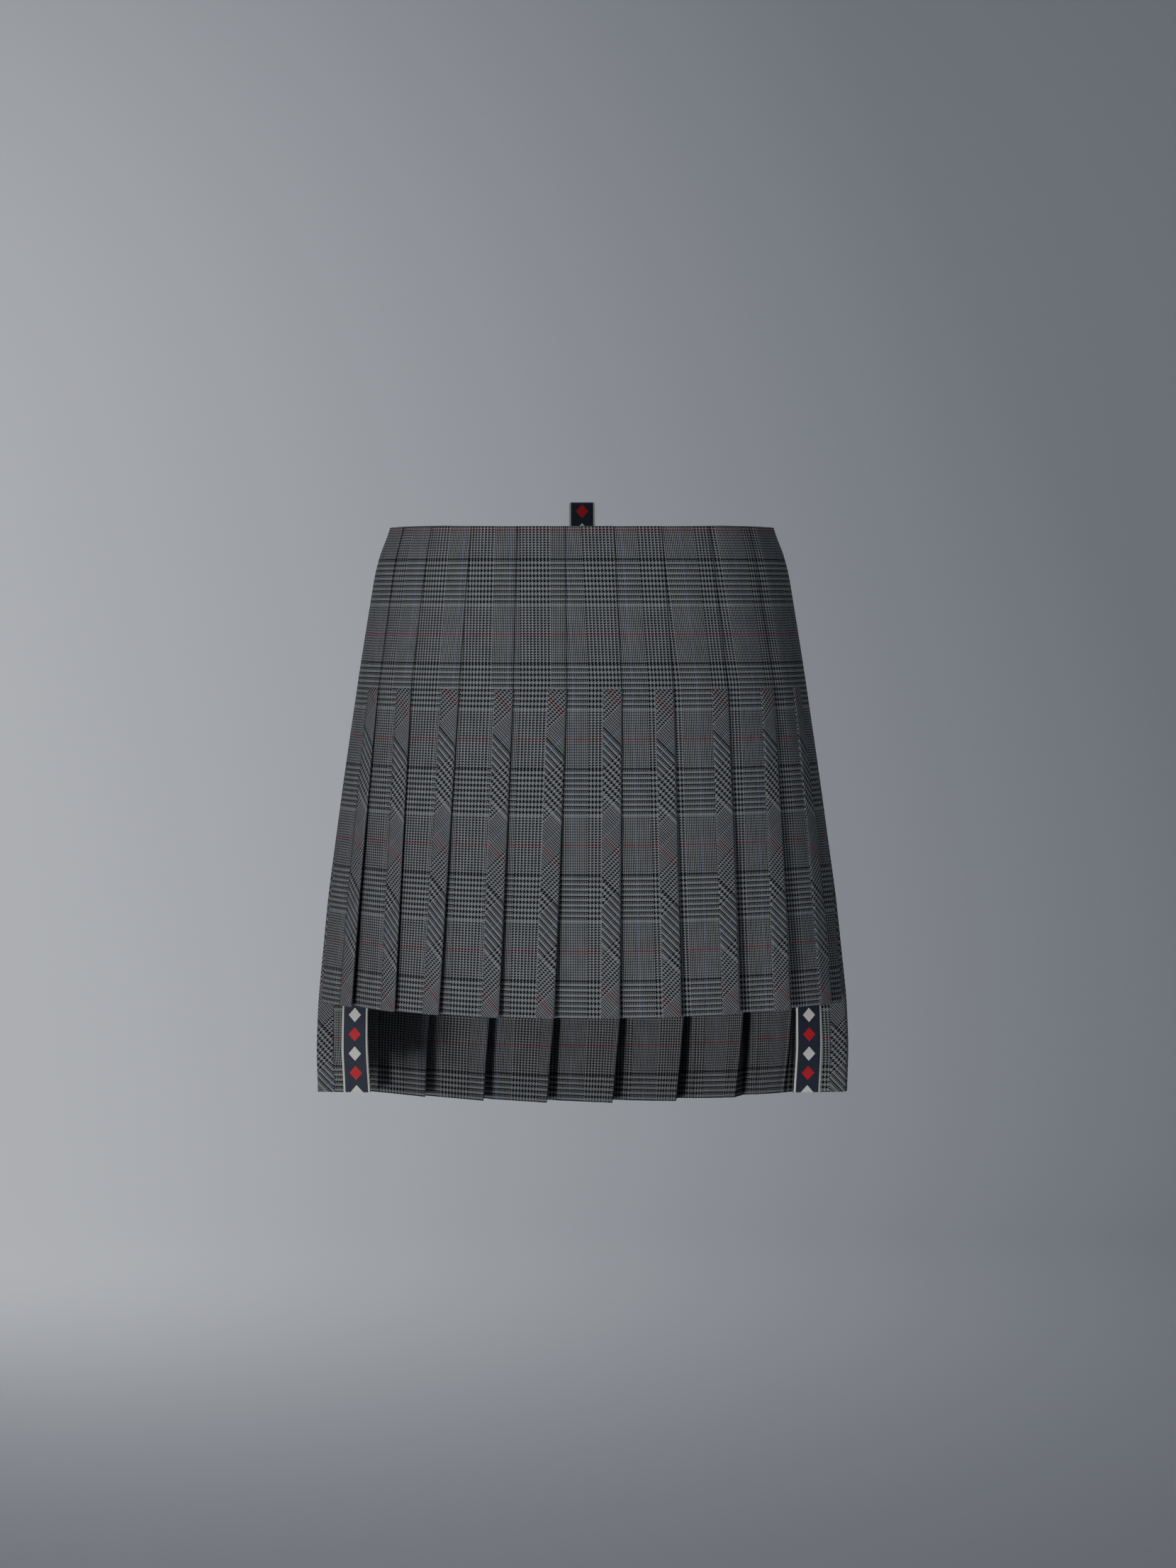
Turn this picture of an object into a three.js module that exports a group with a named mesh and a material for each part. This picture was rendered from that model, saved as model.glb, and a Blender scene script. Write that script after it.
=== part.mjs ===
// A knife-pleated mini skirt with a stepped hem, in the hollow form it has when it is worn.
// Millimetres, +Z up. The origin is the middle of the waist opening, where a wearer holds it up.
// The front faces -Y. Arcs run round the skirt from the centre front, positive towards +X.
import * as THREE from "three";

// The cloth and how its layers lie
const CLOTH = 1.0; // one layer of suiting
const AIR = 0.3; // between two layers, or two pieces, that lie on each other
const STEP = CLOTH + AIR; // from the middle of one layer to the middle of the next
const PLEAT_CLOTH = 86; // cloth from one outer fold to the next, the same from waist to hem

// Heights of the main lines
const WAIST = 0;
const HIP = -110; // the pleats are stitched flat above this line
const FRONT_HEM = -340; // at the front's side edges
const SIDE_HEM = -406;
const FRONT_DIP = 4; // the centre front hangs this much lower than the front's side edges
const FRONT_DIP_FROM = -40; // the y where the front starts to dip
const BACK_DIP = 22; // the centre back hangs this much lower than the sides
const BACK_DIP_FROM = -30;
const BACK_LIFT = 3; // the centre back of the waist stands this much higher than the front
const LIFT_SPAN = 80; // and has its full height this far behind the middle

// The outline of the worn skirt: half its width, half its depth, and how square the ring is
const RINGS = [
  { z: 0, halfWidth: 137, halfDepth: 106, square: 2.4 },
  { z: -9, halfWidth: 142, halfDepth: 108, square: 2.4 },
  { z: -29, halfWidth: 148.6, halfDepth: 111, square: 2.38 },
  { z: -60, halfWidth: 153.8, halfDepth: 115, square: 2.35 },
  { z: -110, halfWidth: 162, halfDepth: 120, square: 2.3 },
  { z: -183, halfWidth: 173, halfDepth: 124, square: 2.25 },
  { z: -265, halfWidth: 184.6, halfDepth: 127, square: 2.2 },
  { z: -340, halfWidth: 192.6, halfDepth: 130, square: 2.15 },
  { z: -375, halfWidth: 194, halfDepth: 131, square: 2.15 },
  { z: -406, halfWidth: 193, halfDepth: 131, square: 2.15 },
];
const FRONT_ROWS = RINGS.filter((ring) => ring.z >= FRONT_HEM).map((ring) => ring.z);
const BACK_ROWS = RINGS.map((ring) => ring.z);

// The front's outer folds, left to right: arc from the centre front at three heights, and how open each
// one is beside the LAYERS table
const FRONT_FOLDS = [
  { waist: -147, hip: -162, hem: -179, open: 0.9 },
  { waist: -113, hip: -127, hem: -138, open: 0.8 },
  { waist: -79.5, hip: -88, hem: -103, open: 0.9 },
  { waist: -46, hip: -48.5, hem: -59, open: 1.1 },
  { waist: -12, hip: -11, hem: -20, open: 1.0 },
  { waist: 22, hip: 27.5, hem: 26, open: 0.7 },
  { waist: 56, hip: 64, hem: 70, open: 0.8 },
  { waist: 92, hip: 105, hem: 113.5, open: 1.5 },
  { waist: 128, hip: 146, hem: 156, open: 1.3 },
  { waist: 163, hip: 184, hem: 203, open: 1.0 },
];
const BACK_FOLDS = 10;
const BACK_LEAN = 5; // the back's free pleats have swung this far towards -X by the hem

// From stitched flat to the open hem: how far the cloth turns over in a fold, how deep the tips of the
// inner folds reach in the front and in the back, and how straight a panel hangs between its two folds
const LAYERS = [
  { z: WAIST, fold: STEP, frontTip: 3.1, backTip: 3.1, free: 0 },
  { z: HIP, fold: STEP, frontTip: 3.1, backTip: 3.1, free: 0 },
  { z: -250, fold: 1.7, frontTip: 8.2, backTip: 13, free: 1 },
  { z: FRONT_HEM, fold: 2.0, frontTip: 11.5, backTip: 19.3, free: 1 },
  { z: SIDE_HEM, fold: 2.2, frontTip: 11.5, backTip: 24, free: 1 },
];
const PAST_FOLD = 2.5; // a stitched-down inner layer goes on this far past its outer fold
const LANDING = 0.55; // the front's last panel is on the outline this share of the way to its edge

// The sides, as distances from the side line: the front's edge, the back's corner, and the vent flap
// past the corner with the depth of its tip and how far it turns in from the outline
const SIDES = [
  { z: WAIST, frontEdge: 9, corner: 4, reach: 6.5, tip: 3.1, turn: 0 },
  { z: HIP, frontEdge: 18, corner: 14, reach: 14, tip: 4, turn: 0 },
  { z: -250, frontEdge: 30, corner: 20, reach: 38.5, tip: 4.4, turn: 0.45 },
  { z: FRONT_HEM, frontEdge: 36, corner: 24, reach: 38.5, tip: 4.4, turn: 0.9 },
  { z: SIDE_HEM, frontEdge: 38, corner: 24, reach: 38.5, tip: 4.4, turn: 1 },
];
const FLAP_SLANT = 0.22; // a turned-in flap comes forward this much for each mm across
const EDGE_CLEAR = 1.5; // a flap is fully under the front this far before the front's edge
const LEAST_STEP = 0.8; // between two points of a flap

// Trims
const STRIP_WIDTH = 12.3; // the bias strip along each outer fold
const RIBBON_WIDTH = 19.2;
const RIBBON_CLOTH = 0.8;
const RIBBON_TOP = -265; // the vent ribbon ends here, under the front
const FACING_DEPTH = 36; // the waist facing's height
const FACING_DROP = 0.6; // its top edge is hidden this far under the waist's edge
const FACING_EASE = 0.2; // it stands in this much more than the air, so that its flat faces clear the panels
const LOOP_RISE = 20.6; // the hanging loop stands this high over the waist
const LOOP_TAIL = 14; // and is sewn down this far inside it
const LOOP_GAP = 1.2; // between the loop's two legs
const LOOP_EASE = 0.4; // the flat loop's clearance from the curved facing, past the air

// The value of a column at a height, from a table whose rows go down the skirt.
function column(table, name, z) {
  const below = table.findIndex((row) => row.z <= z);
  if (below === 0) return table[0][name];
  if (below < 0) return table[table.length - 1][name];
  const [high, low] = [table[below - 1], table[below]];
  return THREE.MathUtils.mapLinear(z, high.z, low.z, high[name], low[name]);
}

// A closed ring at a height, walked by arc: x = a |sin|^(2/n), y = -b |cos|^(2/n), signs kept.
const ringCache = new Map();
const RING_SAMPLES = 2400;
function ringAt(z) {
  if (ringCache.has(z)) return ringCache.get(z);
  const [a, b, n] = ["halfWidth", "halfDepth", "square"].map((name) => column(RINGS, name, z));
  const rounded = (value) => Math.sign(value) * Math.abs(value) ** (2 / n);
  const points = Array.from({ length: RING_SAMPLES + 1 }, (_, i) => {
    const angle = (2 * Math.PI * i) / RING_SAMPLES;
    return new THREE.Vector2(a * rounded(Math.sin(angle)), -b * rounded(Math.cos(angle)));
  });
  const arcs = [0];
  for (let i = 1; i <= RING_SAMPLES; i++) arcs.push(arcs[i - 1] + points[i].distanceTo(points[i - 1]));
  const total = arcs[RING_SAMPLES];
  const place = (arc) => {
    const wanted = THREE.MathUtils.euclideanModulo(arc, total);
    let [low, high] = [0, RING_SAMPLES];
    while (high - low > 1) {
      const middle = (low + high) >> 1;
      if (arcs[middle] <= wanted) low = middle;
      else high = middle;
    }
    return points[low].clone().lerp(points[high], (wanted - arcs[low]) / (arcs[high] - arcs[low]));
  };
  const made = { total, quarter: total / 4, place };
  ringCache.set(z, made);
  return made;
}

// The point of a ring at an arc, moved in by a depth along the ring's own normal.
const NORMAL_SPAN = 3;
function inFrom(place, arc, depth) {
  const along = place(arc + NORMAL_SPAN).sub(place(arc - NORMAL_SPAN)).normalize();
  return place(arc).addScaledVector(new THREE.Vector2(along.y, -along.x), -depth);
}

// The back's own ring: past each corner it leaves the outline and turns in to face the front.
function backPlace(z) {
  const ring = ringAt(z);
  const corner = ring.quarter - column(SIDES, "corner", z);
  const turn = column(SIDES, "turn", z);
  return (arc) => {
    const on = ring.place(arc);
    const signed = arc > ring.total / 2 ? arc - ring.total : arc;
    const past = corner - Math.abs(signed);
    if (past <= 0 || turn === 0) return on;
    const from = ring.place(Math.sign(signed) * corner);
    const across = past / Math.hypot(1, FLAP_SLANT);
    const straight = from.clone().add(
      new THREE.Vector2(-Math.sign(signed) * across, -FLAP_SLANT * across),
    );
    return on.lerp(straight, turn);
  };
}

// A height once hung, by how far forward or back the outline is there: the hem dips towards the centre
// front and the centre back with the square of the distance, and the waist lifts towards the back.
function heightAt(z, y) {
  if (z >= HIP) return z + BACK_LIFT * THREE.MathUtils.clamp(y / LIFT_SPAN, 0, 1) * (1 - z / HIP);
  const dipAt = (dip, from, to, hem) => dip * Math.max(0, (y - from) / (to - from)) ** 2 * ((HIP - z) / (HIP - hem));
  const deepest = column(RINGS, "halfDepth", FRONT_HEM);
  return z - dipAt(FRONT_DIP, FRONT_DIP_FROM, -deepest, FRONT_HEM) - dipAt(BACK_DIP, BACK_DIP_FROM, deepest, SIDE_HEM);
}

// How far an inner fold lies back from its outer fold. Seen along the folds, the return and the next
// panel are two sides of a triangle as high as the drop, and together they are the pleat's cloth.
function underlapOf(pitch, drop) {
  const share = pitch / PLEAT_CLOTH;
  const level = (PLEAT_CLOTH - pitch * share) / 2;
  const rest = 1 - share ** 2;
  return (Math.sqrt((level * share) ** 2 + rest * (level ** 2 - drop ** 2)) - level * share) / rest;
}

// Pleats in turn, as [arc, depth] points of the cloth's middle. For each: up to the outer fold, round it,
// back under itself, round the inner fold, and on to just past the outer fold. Stitched down, a panel
// lies flat, and free, it hangs straight from one fold to the next. It starts from `start` and the last
// panel reaches the outline at `landing`. A panel has a point at each of its strip's own.
const TOP = CLOTH / 2;
const midway = (from, to, share) => from.map((value, i) => THREE.MathUtils.lerp(value, to[i], share));
const depthOn = (from, to, arc) => THREE.MathUtils.mapLinear(arc, from[0], to[0], from[1], to[1]);
function pleats(z, folds, tips, start, landing) {
  const free = column(LAYERS, "free", z);
  const turn = column(LAYERS, "fold", z);
  const least = Math.max(column(LAYERS, "frontTip", HIP), TOP + turn + STEP);
  const points = [];
  let from = start;
  folds.forEach((fold, i) => {
    const next = folds[i + 1] ?? 2 * fold - folds[i - 1];
    const tip = tips[i];
    const back = fold - underlapOf(next - fold, tip - TOP);
    const overEnd = [fold - turn / 2, TOP];
    const rise = THREE.MathUtils.lerp(TOP, depthOn(from, overEnd, back), free);
    const hanging = depthOn([back, tip], [folds[i + 1] ?? landing, TOP], fold + PAST_FOLD);
    const under = THREE.MathUtils.lerp(least, Math.max(least, hanging), free);
    const returnStart = [fold - turn / 2, TOP + turn];
    const returnEnd = [back + turn / 2, tip - turn];
    const innerStart = [back + turn / 2, tip];
    const innerEnd = [fold + PAST_FOLD, under];
    const stops = [back, overEnd[0] - STRIP_WIDTH, overEnd[0] - STRIP_WIDTH / 2].sort((a, b) => a - b);
    points.push(
      ...stops.map((arc) => [arc, depthOn([back, rise], overEnd, arc)]),
      overEnd,
      [fold, TOP + turn / 2],
      returnStart,
      midway(returnStart, returnEnd, 1 / 2),
      returnEnd,
      [back, tip - turn / 2],
      innerStart,
      midway(innerStart, innerEnd, 1 / 3),
      midway(innerStart, innerEnd, 2 / 3),
      innerEnd,
    );
    from = [back, tip];
  });
  return points;
}

function frontFoldArcs(z) {
  const rows = [
    { z: WAIST, name: "waist" },
    { z: HIP, name: "hip" },
    { z: FRONT_HEM, name: "hem" },
  ];
  return FRONT_FOLDS.map((fold) => column(rows.map((row) => ({ z: row.z, arc: fold[row.name] })), "arc", z));
}

// The whole front at a height. Its two side edges lie on the back's vent flaps.
function frontPath(z) {
  const edge = ringAt(z).quarter - column(SIDES, "frontEdge", z);
  const arcs = frontFoldArcs(z);
  const flat = column(LAYERS, "frontTip", HIP);
  const tips = FRONT_FOLDS.map(({ open }) => flat + (column(LAYERS, "frontTip", z) - flat) * open);
  const landing = THREE.MathUtils.lerp(arcs[arcs.length - 1] + PAST_FOLD, edge, LANDING);
  const start = [-edge, TOP];
  return [start, ...pleats(z, arcs, tips, start, landing), [landing, TOP], [edge, TOP]];
}

// The points of a vent flap by how far past the corner they are. It starts under its own strip, is
// under the front too before the front's edge, and ends under the front's last pleat.
function flapPoints(z) {
  const reach = column(SIDES, "reach", z);
  const lap = column(SIDES, "frontEdge", z) - column(SIDES, "corner", z);
  const under = Math.min(lap - EDGE_CLEAR, STRIP_WIDTH - LEAST_STEP);
  const ribbon = reach - AIR - RIBBON_WIDTH;
  const stops = [0];
  for (const stop of [under, STRIP_WIDTH, ribbon, ribbon + RIBBON_WIDTH / 2, reach - AIR, reach]) {
    stops.push(Math.max(stops[stops.length - 1] + LEAST_STEP / 2, stop));
  }
  const depthAt = (past) => {
    if (past <= under) return THREE.MathUtils.mapLinear(past, 0, under, TOP + STEP, TOP + 2 * STEP);
    return THREE.MathUtils.mapLinear(past, under, reach, TOP + 2 * STEP, column(SIDES, "tip", z));
  };
  return stops.map((past) => ({ past, depth: depthAt(past) }));
}
const [CORNER, STRIP_END, RIBBON_START, RIBBON_END] = [0, 2, 3, 5]; // places in a flap's list

function backFoldArcs(z) {
  const ring = ringAt(z);
  const corner = ring.quarter - column(SIDES, "corner", z);
  const pitch = (ring.total - 2 * corner) / (BACK_FOLDS + 1);
  const lean = BACK_LEAN * THREE.MathUtils.clamp((HIP - z) / (HIP - SIDE_HEM), 0, 1);
  const folds = Array.from({ length: BACK_FOLDS }, (_, i) => corner + (i + 1) * pitch + lean);
  return { corner, folds, leftCorner: ring.total - corner };
}

function backPath(z) {
  const { corner, folds, leftCorner } = backFoldArcs(z);
  const right = flapPoints(z).map(({ past, depth }) => [corner - past, depth]).reverse();
  const left = flapPoints(z).map(({ past, depth }) => [leftCorner + past, depth]);
  const tips = folds.map(() => column(LAYERS, "backTip", z));
  const body = pleats(z, folds, tips, right[right.length - 1], leftCorner);
  return [...right, ...body, midway(body[body.length - 1], left[0], 1 / 2), ...left];
}

// A path moved sideways by a distance (outwards is positive), with mitred corners.
const MITRE_LEAST = 0.5; // keeps the mitre of a sharp corner short
function moved(path, distance) {
  const normals = path.slice(1).map(([arc, depth], i) => {
    const along = new THREE.Vector2(arc - path[i][0], depth - path[i][1]).normalize();
    return new THREE.Vector2(along.y, -along.x);
  });
  return path.map(([arc, depth], i) => {
    const before = normals[Math.max(0, i - 1)];
    const after = normals[Math.min(normals.length - 1, i)];
    const mitre = before.clone().add(after).normalize();
    const length = distance / Math.max(MITRE_LEAST, mitre.dot(after));
    return [arc + mitre.x * length, depth + mitre.y * length];
  });
}

// A row of a sheet: its outer and inner points in space, from a path at a height.
function rowOf(path, place, z, out = 0, thick = CLOTH) {
  const side = (distance) =>
    moved(path, distance).map(([arc, depth]) => {
      const spot = inFrom(place, arc, depth);
      return new THREE.Vector3(spot.x, spot.y, heightAt(z, place(arc).y));
    });
  return { outer: side(out + thick / 2), inner: side(out - thick / 2) };
}

// A closed solid from rows of a sheet, top row first. A closed ring joins its last points to its first.
function sheetSolid(rows, closed = false) {
  const across = rows[0].outer.length;
  const points = rows.flatMap((row) => [...row.outer, ...row.inner]);
  const index = (row, side, i) => (row * 2 + side) * across + (i % across);
  const faces = [];
  const quad = (a, b, c, d) => faces.push(a, b, c, a, c, d);
  const spans = closed ? across : across - 1;
  const last = rows.length - 1;
  for (let row = 0; row < last; row++) {
    for (let i = 0; i < spans; i++) {
      quad(index(row, 0, i), index(row + 1, 0, i), index(row + 1, 0, i + 1), index(row, 0, i + 1));
      quad(index(row, 1, i), index(row, 1, i + 1), index(row + 1, 1, i + 1), index(row + 1, 1, i));
    }
    if (closed) continue;
    quad(index(row, 0, 0), index(row, 1, 0), index(row + 1, 1, 0), index(row + 1, 0, 0));
    const end = across - 1;
    quad(index(row, 0, end), index(row + 1, 0, end), index(row + 1, 1, end), index(row, 1, end));
  }
  for (let i = 0; i < spans; i++) {
    quad(index(0, 0, i), index(0, 0, i + 1), index(0, 1, i + 1), index(0, 1, i));
    quad(index(last, 0, i), index(last, 1, i), index(last, 1, i + 1), index(last, 0, i + 1));
  }
  const solid = new THREE.BufferGeometry().setFromPoints(points);
  solid.setIndex(faces);
  solid.computeVertexNormals();
  return solid;
}

const checkCloth = new THREE.MeshStandardMaterial({ color: 0x5b5e62, roughness: 0.85, metalness: 0 });
const ribbonCloth = new THREE.MeshStandardMaterial({ color: 0x1c2233, roughness: 0.6, metalness: 0 });
const facingCloth = new THREE.MeshStandardMaterial({ color: 0xd9d2c4, roughness: 0.7, metalness: 0 });

const skirt = new THREE.Group();
function add(name, geometry, material) {
  const mesh = new THREE.Mesh(geometry, material);
  mesh.name = name;
  skirt.add(mesh);
}

add("front", sheetSolid(FRONT_ROWS.map((z) => rowOf(frontPath(z), ringAt(z).place, z))), checkCloth);
add("back", sheetSolid(BACK_ROWS.map((z) => rowOf(backPath(z), backPlace(z), z))), checkCloth);

// A bias strip lies on the last of each panel and binds the outer fold.
const stripRise = STEP;
function stripPath(pathAt, first, z) {
  const [from, , , before, apex] = pathAt(z).slice(first, first + 5);
  const start = before[0] - STRIP_WIDTH;
  const middle = start + STRIP_WIDTH / 2;
  return [[start, depthOn(from, before, start)], [middle, depthOn(from, before, middle)], before, apex];
}
const POINTS_PER_FOLD = 13;
const FLAP_POINTS = 7;
function addStrip(name, pathAt, first, rows, placeAt) {
  const solid = sheetSolid(rows.map((z) => rowOf(stripPath(pathAt, first, z), placeAt(z), z, stripRise)));
  add(name, solid, checkCloth);
}
const below = (rows) => rows.filter((z) => z <= HIP);
FRONT_FOLDS.forEach((_, i) => {
  const first = 1 + i * POINTS_PER_FOLD;
  addStrip(`front_strip_${i + 1}`, frontPath, first, below(FRONT_ROWS), (z) => ringAt(z).place);
});
for (let i = 0; i < BACK_FOLDS; i++) {
  const first = FLAP_POINTS + i * POINTS_PER_FOLD;
  addStrip(`back_strip_${i + 1}`, backPath, first, below(BACK_ROWS), backPlace);
}

// What lies on a vent flap, between two of its points, on the right (1) or the left (-1).
function flapPath(z, side, from, to) {
  const { corner, leftCorner } = backFoldArcs(z);
  const path = flapPoints(z)
    .slice(from, to + 1)
    .map(({ past, depth }) => [side > 0 ? corner - past : leftCorner + past, depth]);
  return side > 0 ? path.reverse() : path;
}
const ribbonOut = CLOTH / 2 + AIR + RIBBON_CLOTH / 2;
for (const [side, name] of [[1, "right"], [-1, "left"]]) {
  const strip = below(BACK_ROWS).map((z) =>
    rowOf(flapPath(z, side, CORNER, STRIP_END), backPlace(z), z, stripRise),
  );
  add(`${name}_vent_strip`, sheetSolid(strip), checkCloth);
  const ribbon = BACK_ROWS.filter((z) => z <= RIBBON_TOP).map((z) =>
    rowOf(flapPath(z, side, RIBBON_START, RIBBON_END), backPlace(z), z, ribbonOut, RIBBON_CLOTH),
  );
  add(`${name}_vent_ribbon`, sheetSolid(ribbon), ribbonCloth);
}

// The waist facing is a plain band inside every layer.
const FACING_POINTS = 96;
const facingDepth = column(LAYERS, "backTip", WAIST) + STEP + FACING_EASE;
const between = BACK_ROWS.filter((z) => z < -FACING_DROP && z > -FACING_DEPTH);
const facingRows = [-FACING_DROP, ...between, -FACING_DEPTH].map((z) => {
  const { total, place } = ringAt(z);
  const spots = (depth) =>
    Array.from({ length: FACING_POINTS }, (_, i) => {
      const arc = (total * i) / FACING_POINTS;
      const spot = inFrom(place, arc, depth);
      return new THREE.Vector3(spot.x, spot.y, heightAt(z, place(arc).y));
    });
  return { outer: spots(facingDepth - CLOTH / 2), inner: spots(facingDepth + CLOTH / 2) };
});
add("waist_facing", sheetSolid(facingRows, true), facingCloth);

// The hanging loop is one ribbon folded over at the centre back, its two legs down inside the facing.
function loopSolid() {
  const legs = 2 * RIBBON_CLOTH + LOOP_GAP;
  const outline = new THREE.Shape();
  const radius = legs / 2;
  const top = LOOP_RISE - radius;
  outline.moveTo(-radius, -LOOP_TAIL);
  outline.lineTo(-radius, top);
  outline.absarc(0, top, radius, Math.PI, 0, true);
  outline.lineTo(radius, -LOOP_TAIL);
  outline.lineTo(LOOP_GAP / 2, -LOOP_TAIL);
  outline.lineTo(LOOP_GAP / 2, top);
  outline.absarc(0, top, LOOP_GAP / 2, 0, Math.PI, false);
  outline.lineTo(-LOOP_GAP / 2, -LOOP_TAIL);
  const solid = new THREE.ExtrudeGeometry(outline, { depth: RIBBON_WIDTH, bevelEnabled: false, curveSegments: 8 });
  solid.translate(0, 0, -RIBBON_WIDTH / 2);
  solid.rotateX(Math.PI / 2);
  solid.rotateZ(Math.PI / 2);
  const widest = column(RINGS, "halfDepth", WAIST);
  const seat = widest - facingDepth - CLOTH / 2 - AIR - radius;
  return solid.translate(0, seat - LOOP_EASE, 0);
}
add("hanging_loop", loopSolid(), ribbonCloth);

export default skirt;
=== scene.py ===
# %% [markdown]
# # A knife-pleated mini skirt
# The skirt is held at its waist and filled out, as it is on a wearer, with nobody in it. A frame of plain
# solids gives every piece its place. Here each piece of cloth becomes a thin sheet with round folds,
# a cloth pattern that follows its own grain, and the finish of the real material.

# %% Load the frame
import math

import bpy
import numpy as np
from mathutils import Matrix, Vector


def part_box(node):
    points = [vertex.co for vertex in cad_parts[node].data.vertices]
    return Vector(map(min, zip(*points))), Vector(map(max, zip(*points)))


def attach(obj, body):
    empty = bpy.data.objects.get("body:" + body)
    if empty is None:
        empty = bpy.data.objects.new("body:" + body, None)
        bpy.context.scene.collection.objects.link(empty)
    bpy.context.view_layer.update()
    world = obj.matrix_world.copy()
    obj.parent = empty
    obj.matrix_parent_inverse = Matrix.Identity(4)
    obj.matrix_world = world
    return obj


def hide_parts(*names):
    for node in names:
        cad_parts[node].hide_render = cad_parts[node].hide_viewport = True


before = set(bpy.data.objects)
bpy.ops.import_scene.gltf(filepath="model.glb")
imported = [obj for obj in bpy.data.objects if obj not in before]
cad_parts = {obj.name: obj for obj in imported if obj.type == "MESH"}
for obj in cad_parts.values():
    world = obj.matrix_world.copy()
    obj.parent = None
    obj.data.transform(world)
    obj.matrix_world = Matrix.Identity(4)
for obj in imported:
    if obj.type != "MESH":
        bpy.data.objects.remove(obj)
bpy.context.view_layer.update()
print("frame pieces:", len(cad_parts))

# %% [markdown]
# ## The outline
# The cloth hangs on a ring that changes from a squarish oval at the waist to a rounder one at the hem.
# A superellipse needs three numbers a height, so a short table holds the whole outline. All sizes in this
# file are millimetres until a mesh is made.

# %% The outline and the heights
MM = 0.001
HIP = -110.0
FRONT_HEM = -340.0
SIDE_HEM = -406.0
FRONT_DIP, FRONT_DIP_FROM = 4.0, -40.0
BACK_DIP, BACK_DIP_FROM = 22.0, -30.0
BACK_LIFT, LIFT_SPAN = 3.0, 80.0
RINGS = {
    "z": [0, -9, -29, -60, -110, -183, -265, -340, -375, -406],
    "half_width": [137, 142, 148.6, 153.8, 162, 173, 184.6, 192.6, 194, 193],
    "half_depth": [106, 108, 111, 115, 120, 124, 127, 130, 131, 131],
    "square": [2.4, 2.4, 2.38, 2.35, 2.3, 2.25, 2.2, 2.15, 2.15, 2.15],
}


def column(table, name, z):
    """A table's column at heights z: straight between its rows, held at its ends."""
    return np.interp(z, table["z"][::-1], table[name][::-1])


EASE = np.linspace(-9, 9, 7)


def eased(table, name, z):
    """The same column averaged over a few heights round z, which rounds its corners."""
    z = np.asarray(z, float)
    return np.mean([column(table, name, z + step) for step in EASE], axis=0)


# %% [markdown]
# ## Walking round the outline
# Pleats are laid out by how far round the skirt they are, so each height needs its own arc lengths.
# Each ring is sampled once and `np.interp` turns any arc into a place on it.

# %% Rings by arc length
ANGLES = np.linspace(0, 2 * math.pi, 2401)
NORMAL_SPAN = 3.0


def ring_at(z):
    """x = a |sin t|^(2/n), y = -b |cos t|^(2/n), with their signs, and the arc run from t = 0."""
    a, b, n = (eased(RINGS, name, z) for name in ("half_width", "half_depth", "square"))
    sine, cosine = np.sin(ANGLES), np.cos(ANGLES)
    x = a * np.sign(sine) * np.abs(sine) ** (2 / n)
    y = -b * np.sign(cosine) * np.abs(cosine) ** (2 / n)
    arc = np.concatenate([[0], np.cumsum(np.hypot(np.diff(x), np.diff(y)))])
    return {"x": x, "y": y, "arc": arc, "total": arc[-1]}


def on_ring(ring, arc):
    """Places at arcs round a ring, which may be negative or past its end."""
    wrapped = np.mod(arc, ring["total"])
    return np.stack([np.interp(wrapped, ring["arc"], ring[axis]) for axis in "xy"], axis=-1)


def moved_in(place, arc, depth):
    """place(arc) moved in by depth, along the normal of a short chord centred on it."""
    chord = place(arc + NORMAL_SPAN) - place(arc - NORMAL_SPAN)
    chord /= np.linalg.norm(chord, axis=-1, keepdims=True)
    outward = np.stack([chord[..., 1], -chord[..., 0]], axis=-1)
    return place(arc) - outward * np.asarray(depth)[..., None]


def hung(z, y):
    """A row's heights once hung, from the outline's y there. The hem dips towards the centre front and the
    centre back with the square of the distance, and the waist lifts towards the back."""
    if z >= HIP:
        return z + BACK_LIFT * np.clip(y / LIFT_SPAN, 0, 1) * (1 - z / HIP)
    deepest = column(RINGS, "half_depth", FRONT_HEM)
    forward = np.clip((y - FRONT_DIP_FROM) / (-deepest - FRONT_DIP_FROM), 0, None)
    backward = np.clip((y - BACK_DIP_FROM) / (deepest - BACK_DIP_FROM), 0, None)
    front_dip = FRONT_DIP * forward**2 * (HIP - z) / (HIP - FRONT_HEM)
    return z - front_dip - BACK_DIP * backward**2 * (HIP - z) / (HIP - SIDE_HEM)


print("the outline is", round(ring_at(0)["total"]), "mm round at the waist")
print("and", round(ring_at(SIDE_HEM)["total"]), "mm round at the hem")

# %% [markdown]
# ## The pleats
# A knife pleat is a Z of cloth: an outer panel runs to a sharp outer fold, turns back under itself to an
# inner fold, and comes forward again as the next panel. Above the hip the pleats are stitched flat. Below
# it they are free: a panel hangs straight from one fold to the next, and no two pleats open alike. The
# check row says how far left of each outer fold the coarse band of the check ends.
#
# LAYERS says, by height, how thick a fold is, how deep its inner tips lie and how freely it hangs. SIDES
# says, by height, how far from the side line the front's edge and the back's corner lie, how far the
# corner's flap reaches and how deep, and how far it has turned in.

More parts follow.
